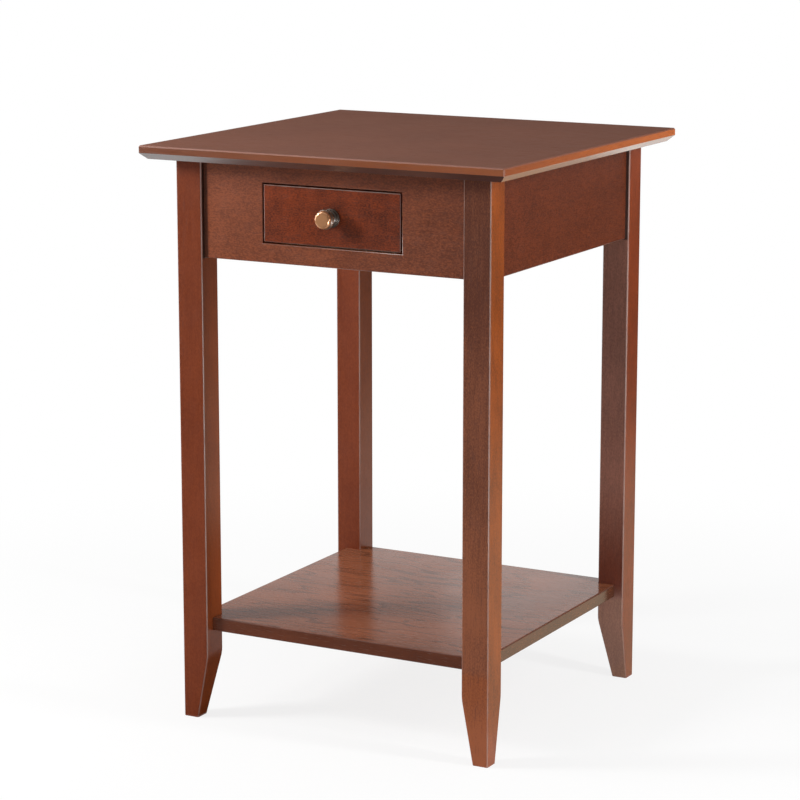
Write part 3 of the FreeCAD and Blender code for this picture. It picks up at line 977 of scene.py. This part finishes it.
low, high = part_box("kicker_screws")
lineX = middleOf("right_kicker").x
rows = (low.y + screwPlaces["kickerEnd"], high.y - screwPlaces["kickerEnd"])
places = [((x * lineX, y, low.z), (0, 0, 1)) for x in signs for y in rows]
screws("kicker_screws", "kickerScrews", "frame", kickerScrew, places)

stopY = middleOf("drawer_out_stops").y
stopZ = middleOf("out_stop_screws").z
stopFace = abs(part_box("left_kicker")[1].x) - screwPlaces["stopFace"]
places = [((x * stopFace, stopY, stopZ), (x, 0, 0)) for x in signs]
screws("out_stop_screws", "outStopScrews", "frame", blockScrew, places)

low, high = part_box("drawer_bottom_screws")
endX = high.x - screwPlaces["bottomEnd"]
places = [((x * endX, (low.y + high.y) / 2, low.z), (0, 0, 1)) for x in (-1, 0, 1)]
screws("drawer_bottom_screws", "bottomScrews", "drawer", bottomScrew, places)

# the knob's own screw has a domed head inside the drawer
knobScrewSizes = {
    "radius": 0.0019,
    "taper": 0.8,  # of the radius, at the tip
    "tip": 0.0005,
    "headRadius": 0.0041,
    "headHeight": 0.0027,
    "rim": 0.25,  # share of the head's height below the dome
    "slot": 0.0011,
    "slotReach": 2.4,  # of the head's radius
    "domeTurns": (0.35, 0.7, 1.05, 1.35),  # radians up the dome
    "sides": 32,
}
low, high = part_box("knob_screw")
thick, wide, tall = (knobScrewSizes[key] for key in ("radius", "headRadius", "headHeight"))
rim = knobScrewSizes["rim"]
headBase = high.y - tall
tipAt = low.y - headBase
domed = [(0.0, tipAt), (thick * knobScrewSizes["taper"], tipAt), (thick, tipAt + knobScrewSizes["tip"])]
domed += [(thick, 0.0), (wide, 0.0), (wide, tall * rim)]
for turn in knobScrewSizes["domeTurns"]:
    domed.append((wide * math.cos(turn), tall * (rim + (1 - rim) * math.sin(turn))))
domed.append((0.0, tall))
pull = newObject("knobScrew", turnedMesh("knobScrew", domed, knobScrewSizes["sides"]))

slotMesh = bpy.data.meshes.new("slotTool")
cutter = bmesh.new()
bmesh.ops.create_cube(cutter, size=1.0)
slotSize = (wide * knobScrewSizes["slotReach"], knobScrewSizes["slot"], tall)
bmesh.ops.scale(cutter, vec=slotSize, verts=cutter.verts)
bmesh.ops.translate(cutter, vec=(0, 0, tall), verts=cutter.verts)
cutter.to_mesh(slotMesh)
cutter.free()
slotTool = newObject("slotTool", slotMesh)
groove = pull.modifiers.new("slot", "BOOLEAN")
groove.operation = "DIFFERENCE"
groove.object = slotTool
baked(pull)
bpy.data.objects.remove(slotTool)
headMiddle = Vector(((low.x + high.x) / 2, headBase, (low.z + high.z) / 2))
pull.data.transform(Matrix.Translation(headMiddle) @ Matrix.Rotation(-math.pi / 2, 4, "X"))
pull.data.materials.clear()
pull.data.materials.append(zinc)
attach(pull, "drawer")
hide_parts("knob_screw")

print("stage")

stageSizes = {
    "floor": 14.0,
    "paper": (0.92, 0.95),  # darkest and lightest
    "paperScale": (40, 40, 40),
    "whiteFrom": 0.3,  # metres from the middle: the floor keeps the table's shadow up to here
    "whiteAt": 1.2,
    "glow": 0.82,  # how much of the floor glows under the table
    "ambientLight": 0.34,
}
white = (1, 1, 1, 1)


def grey(value):
    return (value, value, value, 1)


def seenDirectly(sheet):  # one where the camera, a mirror or glass looks
    rays = sheet.make("ShaderNodeLightPath", out="Is Camera Ray")
    seen = rays.calc("MAXIMUM", rays.other("Is Glossy Ray"))
    return seen.calc("MAXIMUM", rays.other("Is Transmission Ray"))


def floorMaterial():
    material, sheet = newMaterial("paperFloor")
    coords = sheet.make("ShaderNodeTexCoord", out="Object")
    distance = sheet.make("ShaderNodeVectorMath", {"operation": "LENGTH"}, {0: coords}, out="Value")
    paper = cloud(sheet, coords, stageSizes["paperScale"], 3.0)
    tint = mixColours(sheet, paper, grey(stageSizes["paper"][0]), grey(stageSizes["paper"][1]))
    shade = sheet.make("ShaderNodeBsdfDiffuse", None, {"Color": tint})
    glow = sheet.make("ShaderNodeEmission", None, {"Color": white, "Strength": 1.0})
    clear = distance.between(stageSizes["whiteFrom"], stageSizes["whiteAt"], stageSizes["glow"], 1.0)
    share = seenDirectly(sheet) * clear
    finishMaterial(sheet, sheet.make("ShaderNodeMixShader", None, {0: share, 1: shade, 2: glow}))
    return material


half = stageSizes["floor"] / 2
floorMesh = bpy.data.meshes.new("floor")
floorCorners = [(-half, -half, 0), (half, -half, 0), (half, half, 0), (-half, half, 0)]
floorMesh.from_pydata(floorCorners, [], [(0, 1, 2, 3)])
floorMesh.materials.append(floorMaterial())
newObject("floor", floorMesh)

world = bpy.data.worlds.new("studio")
bpy.context.scene.world = world
world.use_nodes = True
world.node_tree.nodes.clear()
sky = Sock(world.node_tree)
ambient = stageSizes["ambientLight"]
strength = seenDirectly(sky) * (1.0 - ambient) + ambient
air = sky.make("ShaderNodeBackground", None, {"Color": white, "Strength": strength})
sky.make("ShaderNodeOutputWorld", None, {"Surface": air})

# cards round the set: polished faces mirror them instead of the white room
flagSizes = {"radius": 1.6, "top": 2.6, "aboveFloor": 0.002, "steps": 24, "weaveScale": (30, 30, 30)}
radius, top, ground = (flagSizes[key] for key in ("radius", "top", "aboveFloor"))

# arc: degrees from +X; from, to: the edges of the card as (distance from its middle, height)
flagBands = (
    {"arc": (190, 445), "from": (radius, 0.70), "to": (radius, top)},
    {"arc": (85, 116), "from": (radius, 0.66), "to": (radius, top)},
    {"arc": (116, 190), "from": (radius, 0.555), "to": (radius, top)},
    {"arc": (15, 85), "from": (radius, ground), "to": (radius, 0.56)},
    {"arc": (190, 300), "from": (radius, ground), "to": (radius, 0.70)},
    {"arc": (215, 290), "from": (0.35, ground), "to": (radius, ground)},
    # painted shade: a black disc under the table that only reflections see, in place of the shaded floor
    # there
    {"arc": (0, 360), "from": (0.001, ground), "to": (0.24, ground), "middle": (-0.27, -0.10), "cloth": 1},
    # painted reflection: a glowing card on the floor to the right that only reflections see
    {"arc": (-22, 74), "from": (0.25, ground), "to": (radius, ground), "cloth": 2},
)


def addBand(shell, band):  # a strip of faces between two arcs
    start, end = (math.radians(angle) for angle in band["arc"])
    x, y = band.get("middle", (0.0, 0.0))
    steps = flagSizes["steps"]
    turns = [start + (end - start) * index / steps for index in range(steps + 1)]
    rings = []
    for reach, height in (band["from"], band["to"]):
        spots = [(x + reach * math.cos(turn), y + reach * math.sin(turn), height) for turn in turns]
        rings.append([shell.verts.new(spot) for spot in spots])
    inside, outside = rings
    for index in range(steps):
        face = shell.faces.new((inside[index], inside[index + 1], outside[index + 1], outside[index]))
        face.material_index = band.get("cloth", 0)


# darkest and lightest thread; the velvet disc under the table is a painted shade for polished faces to
# mirror, and the linen glows as a painted warm reflection of the floor in the right-hand faces
flagCloths = {
    "flagCloth": ("ShaderNodeBsdfDiffuse", grey(0.092), grey(0.138)),
    "flagVelvet": ("ShaderNodeBsdfDiffuse", grey(0.016), grey(0.024)),
    "linen": ("ShaderNodeEmission", (0.90, 0.81, 0.60, 1), (0.94, 0.85, 0.66, 1)),
}

shell = bmesh.new()
for band in flagBands:
    addBand(shell, band)
flagMesh = bpy.data.meshes.new("flags")
shell.to_mesh(flagMesh)
shell.free()
for name, (shader, dark, light) in flagCloths.items():
    cloth, sheet = newMaterial(name)
    weave = cloud(sheet, sheet.make("ShaderNodeTexCoord", out="Object"), flagSizes["weaveScale"])
    finishMaterial(sheet, sheet.make(shader, None, {"Color": mixColours(sheet, weave, dark, light)}))
    flagMesh.materials.append(cloth)
flags = newObject("flags", flagMesh)
flags.visible_camera = flags.visible_diffuse = flags.visible_transmission = flags.visible_shadow = False

softboxes = {
    "keyLeft": {"place": (-1.19, -0.91, 1.15), "aim": (0, 0, 0.45), "size": (0.32, 0.42), "power": 18.6},
    "sideRight": {"place": (1.48, -0.08, 0.80), "aim": (0, 0, 0.45), "size": (0.14, 1.3), "power": 15.0},
    "overTop": {"place": (-1.05, -0.58, 2.1), "aim": (-0.1, -0.1, 0.6), "size": (0.6, 0.6), "power": 7.8},
    "glint": {"place": (0.62, -0.98, 0.16), "aim": (0, -0.2, 0.55), "size": (0.45, 0.35), "power": 10.0},
    "crescent": {"place": (-1.0, -0.50, 1.15), "aim": (0, -0.22, 0.62), "size": (0.5, 1.75), "power": 15.0},
}
onlyMirrored = ("glint", "crescent")  # these two draw lights on polished rounds and light nothing else
for name, box in softboxes.items():
    lamp = bpy.data.lights.new(name, "AREA")
    lamp.shape = "RECTANGLE"
    lamp.size, lamp.size_y = box["size"]
    lamp.energy = box["power"]
    holder = newObject(name, lamp)
    holder.location = box["place"]
    holder.rotation_euler = (Vector(box["aim"]) - holder.location).to_track_quat("-Z", "Y").to_euler()
    holder.visible_camera = False
    holder.visible_diffuse = name not in onlyMirrored

cameraSetting = {
    "place": (1.55066, -2.90598, 1.04708),
    "yaw": 0.4953,
    "pitch": 0.2031,
    "lens": 126.0,
    "reach": 60.0,  # the farthest that it sees
}
camera = newObject("camera", bpy.data.cameras.new("camera"))
camera.data.lens = cameraSetting["lens"]
camera.data.clip_end = cameraSetting["reach"]
camera.location = cameraSetting["place"]
camera.rotation_euler = (math.pi / 2 - cameraSetting["pitch"], 0, cameraSetting["yaw"])
bpy.context.scene.camera = camera
bpy.context.scene.view_settings.view_transform = "Standard"
